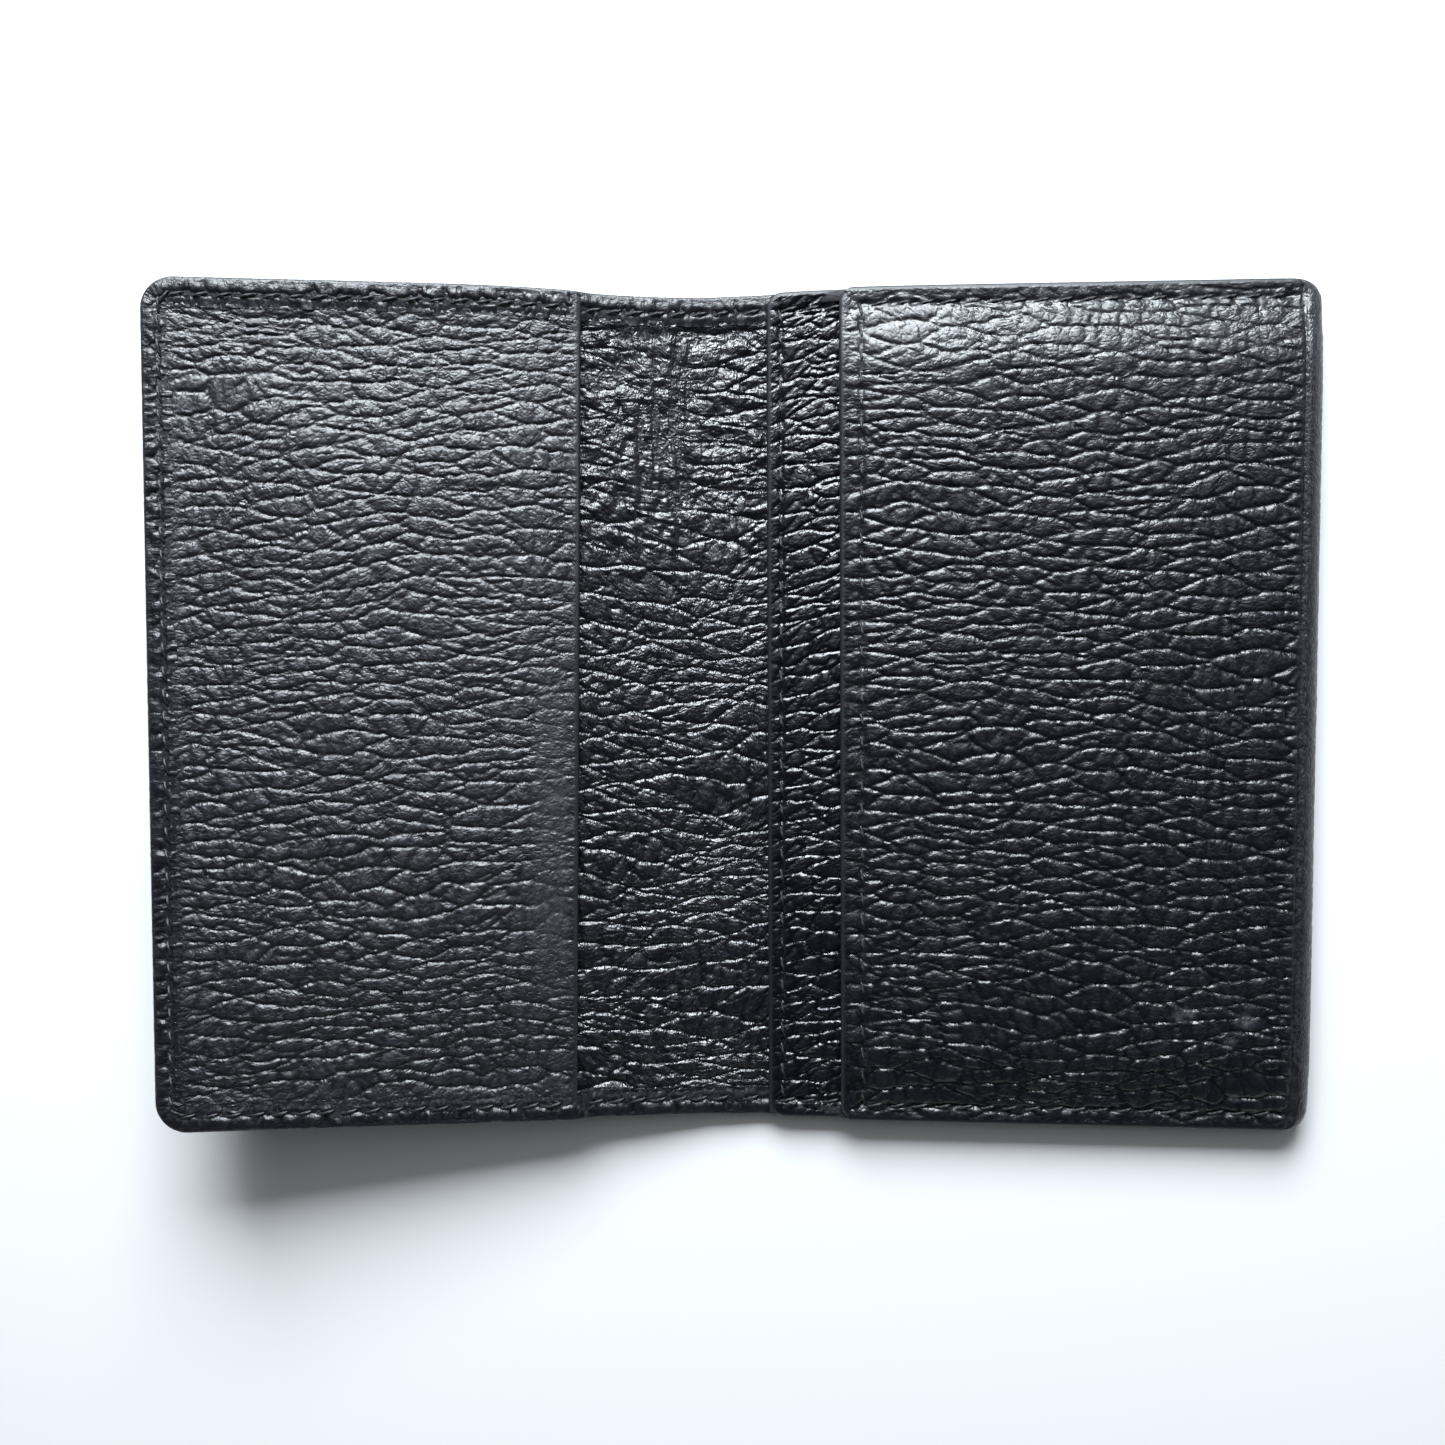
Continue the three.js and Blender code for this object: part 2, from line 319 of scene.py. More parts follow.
def spread(low, high, step, ends=()):
    """Grid lines from low to high about a step apart, with extra ones close to the ends."""
    count = max(int(math.ceil((high - low) / step)), 1)
    lines = list(np.linspace(low, high, count + 1))
    for distance in ends:
        lines += [low + distance, high - distance]
    return np.unique(np.round(lines, 5))


def joined(*lines):
    return np.unique(np.concatenate(lines))


def every(count, step=COARSE):
    """Indices of the lines kept on a hidden side, the first and last among them."""
    return np.unique(np.append(np.arange(0, count, step), count - 1))


class Shape:
    """Vertices, faces and surface values that are gathered into one mesh."""

    def __init__(self):
        self.points = []
        self.flat = []
        self.values = {"crease": [], "paint": [], "wear": []}
        self.faces = []
        self.sharp = []
        self.count = 0

    def add(self, flat, crease=0.0, paint=0.0, wear=0.0, pattern=None):
        """Adds a grid or list of flat points. pattern, if given, places the surface's fine
        pattern in place of the points' own x and y."""
        flat = np.asarray(flat, float)
        index = np.arange(self.count, self.count + flat[..., 0].size).reshape(flat.shape[:-1])
        self.count += index.size
        self.points.append(lie(flat).reshape(-1, 3))
        self.flat.append((flat if pattern is None else pattern).reshape(-1, 3))
        for name, value in (("crease", crease), ("paint", paint), ("wear", wear)):
            self.values[name].append(np.broadcast_to(value, index.shape).ravel())
        return index

    def quads(self, index, flip=False):
        a, b, c, d = index[:-1, :-1], index[1:, :-1], index[1:, 1:], index[:-1, 1:]
        corners = [a, d, c, b] if flip else [a, b, c, d]
        self.faces += np.stack(corners, axis=-1).reshape(-1, 4).tolist()

    def walls(self, outer, inner, keep_u, keep_v, flip=False):
        """Joins the rims of a fine outer grid and a coarse inner one."""

        def wall(outer_line, inner_line, keep, reverse):
            for k in range(len(keep) - 1):
                face = outer_line[keep[k] : keep[k + 1] + 1].tolist()
                face += [int(inner_line[k + 1]), int(inner_line[k])]
                self.faces.append(face[::-1] if reverse != flip else face)

        wall(outer[:, 0], inner[:, 0], keep_u, True)
        wall(outer[:, -1], inner[:, -1], keep_u, False)
        wall(outer[0, :], inner[0, :], keep_v, False)
        wall(outer[-1, :], inner[-1, :], keep_v, True)
        for line in (outer[:, 0], outer[:, -1], outer[0, :], outer[-1, :]):
            self.sharp.append(np.stack([line[:-1], line[1:]], axis=-1))

    def sheet(self, outer, inner, flip=False, step=COARSE, **values):
        """A closed sheet. outer is a fine grid of points, and inner gives the hidden side's
        point for each of them. step thins out the hidden side's lines across x."""
        keep_u, keep_v = every(outer.shape[0], step), every(outer.shape[1])
        top = self.add(outer, **values)
        below = self.add(inner[np.ix_(keep_u, keep_v)])
        self.quads(top, flip)
        self.quads(below, not flip)
        self.walls(top, below, keep_u, keep_v, flip)

    def sharpen(self, mesh):
        """Keeps the shading of a sheet's face apart from that of its cut sides."""
        ends = np.empty(2 * len(mesh.edges), np.int32)
        mesh.edges.foreach_get("vertices", ends)
        ends = np.sort(ends.reshape(-1, 2).astype(np.int64), axis=1)
        rims = np.sort(np.concatenate(self.sharp), axis=1)
        on_rim = np.isin(ends @ [self.count, 1], rims @ [self.count, 1])
        if "sharp_edge" not in mesh.attributes:
            mesh.attributes.new("sharp_edge", "BOOLEAN", "EDGE")
        sharp = np.empty(len(mesh.edges), bool)
        attribute = mesh.attributes["sharp_edge"]
        attribute.data.foreach_get("value", sharp)
        attribute.data.foreach_set("value", sharp | on_rim)

    def make(self, name, material, slot, rides, replaces=()):
        mesh = bpy.data.meshes.new(name)
        mesh.from_pydata(np.concatenate(self.points).tolist(), [], self.faces)
        mesh.shade_smooth()
        flat = mesh.attributes.new("flat", "FLOAT_VECTOR", "POINT")
        flat.data.foreach_set("vector", np.concatenate(self.flat).astype(np.float32).ravel())
        for key, parts in self.values.items():
            attribute = mesh.attributes.new(key, "FLOAT", "POINT")
            attribute.data.foreach_set("value", np.concatenate(parts).astype(np.float32))
        mesh.set_sharp_from_angle(angle=math.radians(75))
        if self.sharp:
            self.sharpen(mesh)
        mesh.materials.append(material)
        piece = bpy.data.objects.new(name, mesh)
        bpy.context.scene.collection.objects.link(piece)
        if replaces:
            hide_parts(*replaces)
        if rides == "right bend":
            bend(piece, FOLD)
        elif rides == "left bend":
            bend(piece, -FOLD)
        else:
            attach(piece, rides)
        return piece


def bend(piece, fold):
    """For a piece that lies across a fold: bakes its placement into its mesh, and ties it to neither
    body. The points at either end of the bend are worked out but not used.
    """
    start = lie([fold + REACH, 0, FOLD_Z])
    end = lie([fold - REACH, 0, FOLD_Z])
    start[1] = end[1] = 0.0
    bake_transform(piece)


# ---- materials


class Nodes:
    """A short way to build a material's node tree."""

    def __init__(self, name):
        self.material = bpy.data.materials.new(name)
        self.material.use_nodes = True
        self.tree = self.material.node_tree
        self.shader = self.tree.nodes["Principled BSDF"]

    def node(self, kind, inputs=(), **settings):
        node = self.tree.nodes.new(kind)
        for key, value in settings.items():
            setattr(node, key, value)
        for key, value in dict(inputs).items():
            self.set(node, key, value)
        return node

    def set(self, node, key, value):
        if isinstance(value, bpy.types.NodeSocket):
            self.tree.links.new(value, node.inputs[key])
        else:
            node.inputs[key].default_value = value

    def value(self, name):
        return self.node("ShaderNodeAttribute", attribute_name=name).outputs["Fac"]

    def place(self, scale=(1, 1, 1)):
        """The flat holder's coordinates in millimetres, scaled."""
        flat = self.node("ShaderNodeAttribute", attribute_name="flat").outputs["Vector"]
        inputs = {"Vector": flat, "Scale": scale}
        return self.node("ShaderNodeMapping", inputs).outputs["Vector"]

    def noise(self, place, scale, detail=3.0, rough=0.55):
        inputs = {"Vector": place, "Scale": scale, "Detail": detail, "Roughness": rough}
        return self.node("ShaderNodeTexNoise", inputs).outputs["Fac"]

    def wave(self, inputs, **settings):
        return self.node("ShaderNodeTexWave", inputs, **settings).outputs["Fac"]

    def cracks(self, place, scale):
        inputs = {"Vector": place, "Scale": scale}
        return self.node("ShaderNodeTexVoronoi", inputs, feature="DISTANCE_TO_EDGE").outputs[0]

    def math(self, operation, a, b=0.0):
        return self.node("ShaderNodeMath", {0: a, 1: b}, operation=operation).outputs[0]

    def times(self, a, b):
        return self.math("MULTIPLY", a, b)

    def plus(self, a, b):
        return self.math("ADD", a, b)

    def remap(self, value, low, high, to_low, to_high):
        inputs = {"Value": value, 1: low, 2: high, 3: to_low, 4: to_high}
        return self.node("ShaderNodeMapRange", inputs).outputs[0]

    def mix(self, factor, a, b):
        node = self.node("ShaderNodeMix", data_type="RGBA")
        for key, value in ((0, factor), (6, a), (7, b)):
            self.set(node, key, value)
        return node.outputs[2]

    def bump(self, height, distance):
        inputs = {"Height": height, "Distance": distance * MM, "Strength": 1.0}
        return self.node("ShaderNodeBump", inputs).outputs["Normal"]

    def finish(self, **inputs):
        for key, value in inputs.items():
            self.set(self.shader, key.replace("_", " "), value)
        return self.material


# painted shade, put in the creases and the cracks between lumps
CREASE_SHADE = (0.0012, 0.0014, 0.0025, 1)
PAINT_BLACK = (0.003, 0.0035, 0.006, 1)
# grey of rubbed, worn leather, also used as a painted highlight on the front panel's upper pebble
# tops
RUBBED_AND_SHEEN_GREY = (0.045, 0.047, 0.052, 1)
BLACK = (0.0024, 0.0027, 0.0048, 1)
WORN_BLACK = (0.0052, 0.0056, 0.0084, 1)
FADED = (0.013, 0.0136, 0.0172, 1)
PAINT_ROUGH = 0.5


def leather(name, dark, light, roughness, ior, relief, lumps, cracks, stretch, wrinkled=1.0):
    """Grained leather, with lumps, fine cracks and wrinkles on the pebbles, smooth where it is
    painted. Its colour carries painted shade, darker in the creases and the cracks between
    lumps, and it is greyer where it is worn, with a painted highlight on some pebble tops.
    relief is the fine pattern's height in millimetres, stretch is how fine its wrinkles are
    each way, and wrinkled how deep they are."""
    m = Nodes(name)
    crease, paint, wear = m.value("crease"), m.value("paint"), m.value("wear")
    place = m.place()
    mottle = m.noise(m.place((1, 1.6, 1)), 0.12, 4.0)
    lump_edge = m.remap(m.cracks(m.place((0.85, 1.1, 1)), 0.6), 0.0, 0.16, 0.0, 1.0)
    crack = m.remap(m.cracks(m.place((1.0, 1.2, 1)), 1.2), 0.0, 0.26, 0.0, 1.0)
    colour = m.mix(m.remap(mottle, 0.35, 0.7, 0.0, 1.0), dark, light)
    # painted shade: the mask that darkens the cracks between lumps and the creases
    hidden = m.times(m.math("SUBTRACT", 1.0, lump_edge), lumps)
    hidden = m.math("MAXIMUM", hidden, m.times(crease, 0.85))
    colour = m.mix(hidden, colour, CREASE_SHADE)
    # real wear, and on the front panel also a painted highlight on the upper pebble tops
    rubbed_and_sheen = m.times(wear, m.remap(m.noise(place, 1.1, 4.0), 0.45, 0.65, 0.2, 1.0))
    colour = m.mix(rubbed_and_sheen, colour, RUBBED_AND_SHEEN_GREY)
    colour = m.mix(paint, colour, PAINT_BLACK)
    rough = m.remap(m.noise(place, 0.6, 3.0), 0.3, 0.7, roughness - 0.06, roughness + 0.08)
    rough = m.math("SUBTRACT", rough, m.times(hidden, 0.1))
    mixed = {0: paint, 2: rough, 3: PAINT_ROUGH}
    rough = m.node("ShaderNodeMix", mixed, data_type="FLOAT").outputs[0]
    wrinkles = m.noise(m.place((*stretch, 1)), 1.6, 2.0, 0.5)
    height = m.times(lump_edge, lumps)
    height = m.plus(height, m.times(crack, cracks))
    height = m.plus(height, m.times(wrinkles, wrinkled))
    height = m.plus(height, m.times(m.noise(place, 4.5, 1.0), 0.12))
    height = m.times(height, m.remap(paint, 0.0, 1.0, 1.0, 0.08))
    return m.finish(Base_Color=colour, Roughness=rough, Normal=m.bump(height, relief), IOR=ior)


def thread_material():
    """Waxed black thread, with its plies twisted round each other."""
    m = Nodes("waxed_thread")
    place = m.place()
    twist = {"Vector": place, "Scale": 0.55, "Distortion": 0.6, "Detail": 1.0}
    plies = m.wave(twist, bands_direction="DIAGONAL")
    fuzz = m.noise(place, 9.0, 3.0)
    colour = m.mix(fuzz, (0.002, 0.002, 0.003, 1), (0.009, 0.009, 0.012, 1))
    height = m.plus(plies, m.times(fuzz, 0.4))
    return m.finish(Base_Color=colour, Roughness=0.55, Normal=m.bump(height, 0.07))


def textile_material():
    """Plain-woven black lining."""
    m = Nodes("pocket_textile")
    warp, weft = (
        m.wave({"Vector": m.place(), "Scale": 0.9}, bands_direction=across) for across in "XY"
    )
    weave = m.math("MAXIMUM", warp, weft)
    slub = m.noise(m.place((0.3, 3, 1)), 1.5, 3.0)
    colour = m.mix(slub, (0.008, 0.008, 0.01, 1), (0.028, 0.028, 0.032, 1))
    colour = m.mix(weave, (0.003, 0.003, 0.004, 1), colour)
    return m.finish(
        Base_Color=colour, Roughness=0.85, Normal=m.bump(weave, 0.08), Sheen_Weight=0.3
    )


def board_material():
    """Bonded leather board: brown, fibrous and matt."""
    m = Nodes("bonded_board")
    coordinates = m.node("ShaderNodeTexCoord").outputs["Object"]
    fibre = m.noise(coordinates, 900.0, 5.0, 0.7)
    patch = m.noise(coordinates, 120.0, 3.0)
    colour = m.mix(fibre, (0.11, 0.07, 0.045, 1), (0.23, 0.16, 0.11, 1))
    colour = m.mix(m.times(patch, 0.4), colour, (0.07, 0.05, 0.035, 1))
    return m.finish(Base_Color=colour, Roughness=0.9, Normal=m.bump(fibre, 0.1))


GLOSSY = leather("front_leather", BLACK, WORN_BLACK, 0.38, 1.5, 0.045, 0.5, 0.6, (1.4, 1.6), 0.8)
STRIP_LOOK = leather("slot_leather", BLACK, BLACK, 0.31, 1.5, 0.045, 0.4, 0.6, (1.4, 1.6), 0.8)
SATIN = leather("inner_leather", WORN_BLACK, FADED, 0.47, 1.57, 0.06, 0.5, 0.7, (1.6, 1.6), 0.9)
COVER = leather("outer_leather", BLACK, WORN_BLACK, 0.33, 1.5, 0.05, 0.2, 0.6, (1.2, 1.5))
HEM_LOOK = leather("hem_leather", BLACK, WORN_BLACK, 0.42, 1.5, 0.08, 0.0, 0.25, (1.6, 0.5), 1.4)
CRUMPLED = leather("lining_leather", BLACK, WORN_BLACK, 0.35, 1.6, 0.1, 0.4, 0.4, (2.0, 0.5), 1.3)
THREAD = thread_material()
LINEN = textile_material()
BOARD = board_material()

# ---- heights of the layers

MOUTH_GROOVE = (0.36, 0.28)  # depth and width
GRAIN = 0.58  # from a pebble's top to the crease beside it
MOUTH_DROOP = 0.45
DROOP_REACH = 9.0
SEWN_REACH = 12.0  # a panel that is sewn down at its edge slopes up over this much
# a sewn pocket is closed this far in, and has its full height this much further in
LEFT_OPENS = (4.0, 22.0)
SLOT_OPENS = (6.0, 28.0)
FRONT_OPENS = (0.5, 10.5)
STITCH_PITCH = 2.95


def droop(from_mouth):
    """How far a pocket's panel hangs down by its mouth."""
    return MOUTH_DROOP * (1 - smooth(from_mouth / DROOP_REACH))


def panel_top(x, y):
    edge = np.minimum(from_end(y), x + WIDTH)
    return PANEL - CARD + (CARD - droop(mouth_at("left", y) - x)) * ramp(edge, *LEFT_OPENS)


def strip_top(x, y):
    opened = ramp(from_end(y), *SLOT_OPENS)
    return STRIP - CARD + (CARD - droop(x - mouth_at("slot", y))) * opened


def front_top(x, y):
    edge = from_end(y)
    opened = 0.25 * swollen(edge, SEWN_REACH) + 0.75 * ramp(edge, *FRONT_OPENS)
    return FRONT - 2 * CARD + (2 * CARD - droop(x - mouth_at("front", y))) * opened


def hem_top(x):
    """The turned hem runs from on top of the left pocket down onto the lining."""
    on_panel = PANEL - CARD + GLUE + HEM_LEATHER
    return HEM + (on_panel - HEM) * smooth((LEFT_MOUTH + 2.5 - x) / 4.0)


def groove(distance, along, depth=0.34, width=0.4):
    """How far leather is pulled down beside a stitch row, most of all at the stitch holes."""
    pull = 0.66 + 0.34 * np.cos(2 * np.pi * along / STITCH_PITCH)
    wide = 0.22 * hump(distance, 2.4 * width)
    return depth * pull * (hump(distance, width) + wide)


def rim_drop(distance, radius):
    """How far a cut edge is rounded down, for the distance in from it."""
    return radius * (1 - rounded(distance, radius))


RIM_LINES = (0.03, 0.09, 0.2, 0.36)
RIM = 0.5


def rounded_corners(x, y, corners):
    """Moves a rectangle's grid so that its corners are round. corners holds, for each, where
    it is, which way it points and its radius. Returns the new x and y."""
    for corner_x, side_x, corner_y, side_y, radius in corners:
        a = (x - (corner_x - side_x * radius)) * side_x / radius
        b = (y - (corner_y - side_y * radius)) * side_y / radius
        inside = (a > 0) & (b > 0)
        length = np.hypot(a, b) + 1e-9
        share = np.where(inside, np.maximum(a, b) / length, 1.0)
        x = np.where(inside, corner_x - side_x * radius + side_x * radius * a * share, x)
        y = np.where(inside, corner_y - side_y * radius + side_y * radius * b * share, y)
    return x, y


def left_corners(inset):
    """The left cover's two outer corners, for a layer that stops this far inside its edges."""
    radius = CORNER_LEFT - inset
    return [(-WIDTH + inset, -1, side * (TOP - inset), side, radius) for side in (-1, 1)]


def mouth_corners(pocket):
    """The two corners of a pocket's mouth on the right cover."""
    return [
        (mouth_at(pocket, side * TOP), -1, side * TOP, side, CORNER_MOUTH)
        for side in (-1, 1)
    ]


# ---- inner panels

FINE_Y = 0.16
EDGE_BAND = 2.8  # the smooth band where the hide folds round the right edge
HIDDEN_STEP = 1.5


# scuffs near the front pocket's bottom corner: in from the right edge, up from the bottom
# edge, width and height
SCUFFS = (
    (8.9, 14.8, 1.5, 1.0),
    (10.9, 11.8, 1.2, 0.8),
    (16.7, 15.5, 1.6, 1.1),
    (9.8, 4.4, 0.9, 0.7),
)


def mouth_paint(distance):
    """The painted mouth edge: a narrow smooth band."""
    return 1 - ramp(distance, 0.35, 0.3)


def left_pocket():
    """The left pocket's panel. Its mouth is a plain painted cut; by the mouth the grain is
    pressed flat over the lower two thirds."""
    low = flat_box("left_pocket_panel")[0][0]
    xs = spread(low, LEFT_MOUTH, 0.33, RIM_LINES)
    ys = spread(-INSIDE, INSIDE, 0.2)
    x, y = np.meshgrid(xs, ys, indexing="ij")
    along = (x - low) / (LEFT_MOUTH - low)
    x = x + (mouth_at("left", y) - LEFT_MOUTH) * smooth(along)
    x, y = rounded_corners(x, y, left_corners(OUTER + GLUE))
    from_mouth = mouth_at("left", y) - x
    height, crease, place = pebbles(x, y, 100, fine=1.2, dome=1.0)
    pressed = ramp(from_mouth, 0.8, 1.2) * (1 - ramp(from_mouth, 5.0, 1.6))
    pressed = pressed * ramp(-y, -12, 14) * ramp(y, -40, 8)
    depth = GRAIN * (1 - 0.62 * pressed) * ramp(from_mouth, 0.25, 1.2)
    paint = mouth_paint(from_mouth)
    from_hem = np.minimum(from_end(y), x + WIDTH) - HEM_WIDTH
    depth = depth * (0.3 + 0.7 * ramp(from_hem, -0.2, 1.2))
    top = panel_top(x, y) - depth * (1 - height) - rim_drop(from_mouth, RIM)
    top = top + 0.12 * fractal(x, y, (26, 22), 171)
    top = np.minimum(top, panel_top(x, y))
    shape = Shape()
    under = panel_top(x, y) - (PANEL - PANEL_LOW)
    shape.sheet(
        xyz(x, y, top),
        xyz(x, y, under),
        crease=crease * (1 - 0.5 * pressed) * (1 - paint),
        paint=paint,
        wear=0.35 * pressed * (1 - paint),
        pattern=place,
    )
    shape.make(
        "left_pocket_leather", SATIN, "inner_leather", "left_cover", ["left_pocket_panel"]
    )


def card_strip():
    """The strip that carries the card slot, with a stitch row by its painted mouth."""
    xs = joined(
        spread(SLOT_MOUTH, FRONT_MOUTH + 2, 0.25, RIM_LINES),
        spread(FRONT_MOUTH + 2, STRIP_END, HIDDEN_STEP),
    )
    ys = spread(-TOP, TOP, FINE_Y, RIM_LINES)
    x, y = np.meshgrid(xs, ys, indexing="ij")
    along = (x - SLOT_MOUTH) / (STRIP_END - SLOT_MOUTH)
    x = x + (mouth_at("slot", y) - SLOT_MOUTH) * (1 - smooth(along * 3))
    from_mouth = x - mouth_at("slot", y)
    flat_x, flat_y = rounded_corners(x, y, mouth_corners("slot"))
    height, crease, place = pebbles(flat_x, flat_y - 0.2 * flat_x, 200, (5.2, 2.5), fine=0.2)
    edge = np.minimum(from_mouth, from_end(y))
    depth = GRAIN * ramp(edge, 0.3, 1.3)
    depth = depth * (1 - 0.5 * hump(from_mouth - SLOT_ROW, 0.9))
    paint = mouth_paint(edge)
    top = strip_top(flat_x, flat_y) - depth * (1 - height) - rim_drop(edge, RIM)
    sewn = ramp(from_end(y) - SEAM_INSET, -0.6, 0.6)
    top = top - groove(from_mouth - SLOT_ROW, y, *MOUTH_GROOVE) * sewn
    top = top - groove(from_end(y) - SEAM_INSET, flat_x) * ramp(from_mouth, 1.2, 0.8)
    shape = Shape()
    under = strip_top(flat_x, flat_y) - (STRIP - STRIP_LOW)
    shape.sheet(
        xyz(flat_x, flat_y, top),
        xyz(flat_x, flat_y, under),
        crease=crease * (1 - paint),
        paint=paint,
        pattern=place,
    )
    shape.make("card_slot_leather", STRIP_LOOK, "inner_leather", "right_cover", ["slot_strip"])


def front_pocket():
    """The outer hide comes round the right edge and back as the front pocket."""
    ys = spread(-TOP, TOP, 0.22, RIM_LINES)
    arc = np.linspace(-90, 90, 20)
    across = spread(0, 1, 0.36 / 60, [line / 60 for line in RIM_LINES])
    radius = front_top(np.full_like(ys, WIDTH), ys) / 2
    over = np.clip(CORNER_RIGHT - from_end(ys), 0, CORNER_RIGHT)
    corner = CORNER_RIGHT - np.sqrt(CORNER_RIGHT**2 - over**2)
    edge_x = WIDTH - radius - corner
    angle = np.radians(arc)[:, None]
    round_x = edge_x + radius * np.cos(angle)
    round_z = radius + radius * np.sin(angle)
    normal_x, normal_z = np.cos(angle) + 0 * radius, np.sin(angle) + 0 * radius
    mouth = mouth_at("front", ys)
    flat_x = edge_x + (mouth - edge_x) * across[1:, None]
    flat_z = front_top(flat_x, ys[None, :] + 0 * flat_x)
    x = np.concatenate([round_x, flat_x])
    z = np.concatenate([round_z, flat_z])
    normal_x = np.concatenate([normal_x, 0 * flat_x])
    normal_z = np.concatenate([normal_z, 1 + 0 * flat_x])
    y = ys[None, :] + 0 * x
    from_mouth = x - mouth[None, :]
    turned_over = np.concatenate([np.pi * radius * (90 - arc[:, None]) / 180, 0 * flat_x])
    hide_x = x + turned_over  # along the hide
    x, y = rounded_corners(x, y, mouth_corners("front"))
    end = from_end(y)
    worn_edge = ramp(hide_x, WIDTH - EDGE_BAND - 0.9, 0.9)
    height, crease, place = pebbles(hide_x, y, 300, (6.4, 2.5), fine=0.4)
    edge = np.minimum(np.where(x > WIDTH / 2, 99, from_mouth), end)
    depth = GRAIN * ramp(edge, 0.3, 1.3) * (1 - 0.8 * worn_edge)
    depth = depth * (1 - 0.5 * hump(from_mouth - FRONT_ROW, 0.9))
    upper = ramp(y, 30, 22)
    depth = depth * (1 - 0.3 * upper)
    # wrinkles that run out of the top right corner
    out_x, out_y = WIDTH - hide_x, TOP - y
    diagonal = (out_x - out_y) / math.sqrt(2)
    reach = hump(np.hypot(out_x, out_y), 13)
    wrinkle = 0.16 * reach * ridges(diagonal, out_x + out_y, (1.3, 9.0), 371)
    paint = mouth_paint(edge)
    lower = -depth * (1 - height) - rim_drop(edge, RIM) - wrinkle
    fine = 0.05 * worn_edge * ridges(hide_x, y, (0.45, 5.0), 381)
    # the fold line is pressed down, and is also darkened as painted shade through the crease value
    fold_line = hump(hide_x - WIDTH + EDGE_BAND, 0.28)
    lower = lower - fine - 0.26 * fold_line
    sewn_end = ramp(end - SEAM_INSET, -0.6, 0.6)
    near_mouth = ramp(from_mouth - FRONT_ROW, -1.0, 0.8)
    lower = lower - groove(from_mouth - FRONT_ROW, y, *MOUTH_GROOVE) * sewn_end
    flat_part = smooth((WIDTH - 2.0 - hide_x) / 1.5)
    lower = lower - groove(end - SEAM_INSET, hide_x) * near_mouth * flat_part
    outer = xyz(x + normal_x * lower, y, z + normal_z * lower)
    thick = FRONT - FRONT_LOW
    inner_z = np.maximum(z - normal_z * thick, 0.5)
    inner = xyz(x - normal_x * thick, y, inner_z)
    shape = Shape()
    scuffed = 0 * x
    for in_from_right, up_from_bottom, wide, tall in SCUFFS:
        across_it = (hide_x - WIDTH + in_from_right) / wide
        along_it = (y + TOP - up_from_bottom) / tall
        reach = across_it**2 + along_it**2 + 0.7 * fractal(hide_x, y, (1.2, 1.0), 391)
        scuffed = np.maximum(scuffed, 1 - smooth(reach - 0.3))
    # the worn edge and the scuffs are real wear; the greyer pebble tops towards the top are a painted
    # highlight
    rubbed_and_sheen = 0.35 * worn_edge + scuffed + 0.25 * upper * height
    shape.sheet(
        outer,
        inner,
        flip=True,
        crease=np.maximum(crease * (1 - paint) * (1 - 0.8 * worn_edge), fold_line),
        paint=paint,
        wear=np.clip(rubbed_and_sheen, 0, 1) * (1 - paint),
        pattern=place,
    )
    shape.make(
        "front_pocket_leather",
        GLOSSY,
        "outer_leather",
        "right_cover",
        ["front_pocket_panel", "edge_fold_right"],
    )


def lining_height(x, y):
    """The lining's leather, loose and crumpled beside the spine."""
    height, crease, place = pebbles(x, y, 400, (7.5, 3.2), 1.3, 1.0, 0.7)
    upper = ramp(y, 12, 18)
    bottom = ramp(-y, 38, 8)
    middle = hump(x + 10, 6.5)
    crumple = ridges(x + 0.8 * noise(x, y, (4, 9), 431), y, (1.5, 8.0), 441)
    facets = ridges(x, y, (5.0, 3.6), 451)
    height = height * (1 - 0.6 * upper * middle)
    height = height + upper * middle * (1.7 * (crumple - 0.8) + 0.3)
    height = height + (0.9 * bottom + 1.1 * upper) * (facets - 0.82)
    return height, crease * (1 - 0.5 * upper * middle), place


def lining():
    """The lining leather, in two pieces that meet at the middle of the spine."""
    ys = spread(-INSIDE, INSIDE, FINE_Y)
    left_low = flat_box("lining_left")[0][0]
    right_high = flat_box("lining_right")[1][0]
    left = [spread(left_low, LEFT_MOUTH - 2, HIDDEN_STEP), spread(LEFT_MOUTH - 2, 0, 0.33)]
    right = [spread(0, SLOT_MOUTH + 2, 0.33), spread(SLOT_MOUTH + 2, right_high, HIDDEN_STEP)]
    for side, lines, also in (("left", left, []), ("right", right, ["lining_spine"])):
        x, y = np.meshgrid(joined(*lines), ys, indexing="ij")
        if side == "left":
            x, y = rounded_corners(x, y, left_corners(OUTER + GLUE))
        height, crease, place = lining_height(x, y)
        shown = ramp(x - LEFT_MOUTH, -2, 1.5) * smooth((SLOT_MOUTH + 1.5 - x) / 1.5)
        free = ramp(from_end(y), 3.5, 1.5)
        wave = 0.14 * fractal(x, y, (9, 12), 461) * free * shown
        top = LINING + wave * ramp(-np.abs(x + 10), -9, 4)
        by_hem = 0.3 + 0.7 * ramp(from_end(y) - HEM_WIDTH, -0.2, 1.2)
        top = top - GRAIN * (1 - height) * (0.35 + 0.65 * shown) * by_hem
        top = np.maximum(top, LINING_LOW + 0.1 - 0.3 * shown)
        shape = Shape()
        under = LINING_LOW + 0 * x
        shape.sheet(
            xyz(x, y, top),
            xyz(x, y, under),
            step=BENDING,
            crease=crease,
            pattern=place,
        )
        name, node = f"lining_leather_{side}", f"lining_{side}"
        shape.make(name, CRUMPLED, "inner_leather", f"{side} bend", [node] + also)


# ---- outer leather and hems

WRAP_START = 0.6  # the bottom sheet stops this far in where the hide turns up
SKIVED = 0.34  # the hem is pared this much thinner at its end
COVER_X, COVER_Y = 0.45, 0.28
BACK_GROOVE = 0.22  # the back's stitches pull the leather in this far


